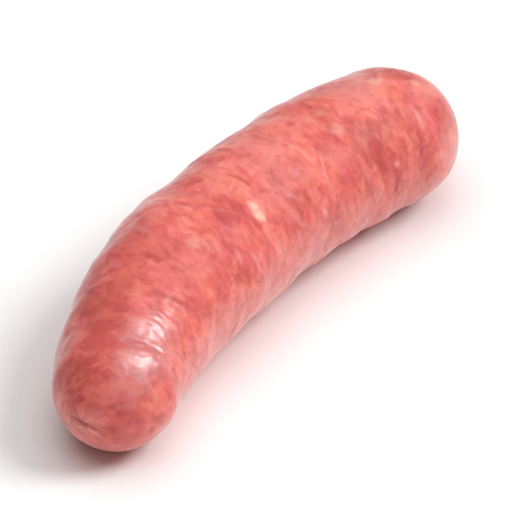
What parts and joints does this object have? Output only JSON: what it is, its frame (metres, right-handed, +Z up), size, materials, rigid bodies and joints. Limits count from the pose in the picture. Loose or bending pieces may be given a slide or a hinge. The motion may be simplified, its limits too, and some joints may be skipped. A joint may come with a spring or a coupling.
{
  "type": "raw sausage link",
  "caption": "Raw sausage link: coarse ground meat in a thin moist natural casing, curved and plump, gathered and pinched at both ends, lying on its side.",
  "frame": {"origin": "under the middle of the bounding box, on the surface that the link lies on", "axes": "+Z up, +X from the slim end towards the full end along the chord of the bend, and the back of the bend bulges towards +Y"},
  "size_m": [0.1324, 0.0424, 0.0334],
  "materials": {
    "raw_meat_in_casing": "pink-red ground meat with cream fat flecks under a thin, moist, slightly wrinkled natural casing with a soft sheen"
  },
  "bodies": {
    "root": {"sausage_link": "raw_meat_in_casing"}
  },
  "joints": []
}
